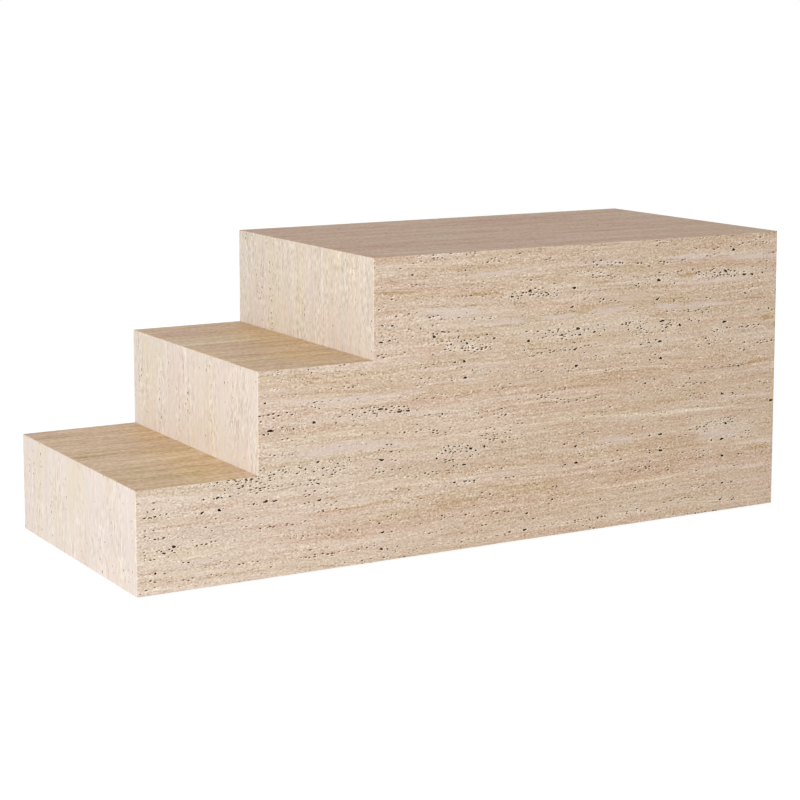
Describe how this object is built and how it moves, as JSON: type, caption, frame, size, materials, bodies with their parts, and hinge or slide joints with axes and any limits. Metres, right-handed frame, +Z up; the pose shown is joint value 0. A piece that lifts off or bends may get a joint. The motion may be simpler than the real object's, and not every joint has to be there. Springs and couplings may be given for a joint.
{
  "type": "stepped display plinth",
  "caption": "Three-tier stepped display table in travertine: mitred slabs on a plywood carcase with screw feet for levelling.",
  "frame": {"origin": "on the floor, under the middle of the plinth's length and depth", "axes": "+X along the length from the low step to the tall end, +Y from the stepped front face to the rear face, +Z up"},
  "size_m": [1.5, 0.6, 0.603],
  "materials": {
    "travertine": "honed, unfilled",
    "plywood": "raw birch plywood",
    "timber": "planed softwood",
    "rubber": "moulded",
    "adhesive": "cured polymer adhesive",
    "nylon": "moulded nylon",
    "zinc_steel": "zinc plated"
  },
  "bodies": {
    "plinth": {"front_side_slab": "travertine", "rear_side_slab": "travertine", "lower_riser_slab": "travertine", "middle_riser_slab": "travertine", "upper_riser_slab": "travertine", "lower_tread_slab": "travertine", "middle_tread_slab": "travertine", "top_slab": "travertine", "end_slab": "travertine", "front_side_board": "plywood", "rear_side_board": "plywood", "lower_riser_board": "plywood", "middle_riser_board": "plywood", "upper_riser_board": "plywood", "end_board": "plywood", "lower_deck": "plywood", "middle_deck": "plywood", "upper_deck": "plywood", "base_board": "plywood", "near_cross_rib": "plywood", "far_cross_rib": "plywood", "lower_deck_cleat": "timber", "middle_deck_cleat": "timber", "front_runner": "timber", "rear_runner": "timber", "front_floor_strip": "rubber", "rear_floor_strip": "rubber", "front_adhesive_beads": "adhesive", "rear_adhesive_beads": "adhesive", "tread_adhesive_beads": "adhesive", "riser_adhesive_beads": "adhesive", "tee_nuts": "zinc_steel"},
    "low_end_front_pad": {"low_end_front_foot_pad": "nylon", "low_end_front_foot_sole": "rubber"},
    "low_end_front_stem": {"low_end_front_foot_stem": "zinc_steel"},
    "tall_end_front_pad": {"tall_end_front_foot_pad": "nylon", "tall_end_front_foot_sole": "rubber"},
    "tall_end_front_stem": {"tall_end_front_foot_stem": "zinc_steel"},
    "low_end_rear_pad": {"low_end_rear_foot_pad": "nylon", "low_end_rear_foot_sole": "rubber"},
    "low_end_rear_stem": {"low_end_rear_foot_stem": "zinc_steel"},
    "tall_end_rear_pad": {"tall_end_rear_foot_pad": "nylon", "tall_end_rear_foot_sole": "rubber"},
    "tall_end_rear_stem": {"tall_end_rear_foot_stem": "zinc_steel"}
  },
  "joints": [
    {"name": "low_end_front_foot_travel", "type": "slide", "parent": "plinth", "child": "low_end_front_pad", "axis": [0, 0, -1], "range_m": [0, 0.012]},
    {"name": "low_end_front_foot_screw", "type": "hinge", "parent": "low_end_front_pad", "child": "low_end_front_stem", "pos_m": [-0.599, -0.174, 0.02], "axis": [0, 0, -1], "range_deg": [0, 2880]},
    {"name": "tall_end_front_foot_travel", "type": "slide", "parent": "plinth", "child": "tall_end_front_pad", "axis": [0, 0, -1], "range_m": [0, 0.012]},
    {"name": "tall_end_front_foot_screw", "type": "hinge", "parent": "tall_end_front_pad", "child": "tall_end_front_stem", "pos_m": [0.599, -0.174, 0.02], "axis": [0, 0, -1], "range_deg": [0, 2880]},
    {"name": "low_end_rear_foot_travel", "type": "slide", "parent": "plinth", "child": "low_end_rear_pad", "axis": [0, 0, -1], "range_m": [0, 0.012]},
    {"name": "low_end_rear_foot_screw", "type": "hinge", "parent": "low_end_rear_pad", "child": "low_end_rear_stem", "pos_m": [-0.599, 0.174, 0.02], "axis": [0, 0, -1], "range_deg": [0, 2880]},
    {"name": "tall_end_rear_foot_travel", "type": "slide", "parent": "plinth", "child": "tall_end_rear_pad", "axis": [0, 0, -1], "range_m": [0, 0.012]},
    {"name": "tall_end_rear_foot_screw", "type": "hinge", "parent": "tall_end_rear_pad", "child": "tall_end_rear_stem", "pos_m": [0.599, 0.174, 0.02], "axis": [0, 0, -1], "range_deg": [0, 2880]}
  ],
  "couplings": [
    {"joint": "low_end_front_foot_screw", "follows": "low_end_front_foot_travel", "rad_per_m": 4188.8},
    {"joint": "tall_end_front_foot_screw", "follows": "tall_end_front_foot_travel", "rad_per_m": 4188.8},
    {"joint": "low_end_rear_foot_screw", "follows": "low_end_rear_foot_travel", "rad_per_m": 4188.8},
    {"joint": "tall_end_rear_foot_screw", "follows": "tall_end_rear_foot_travel", "rad_per_m": 4188.8}
  ]
}
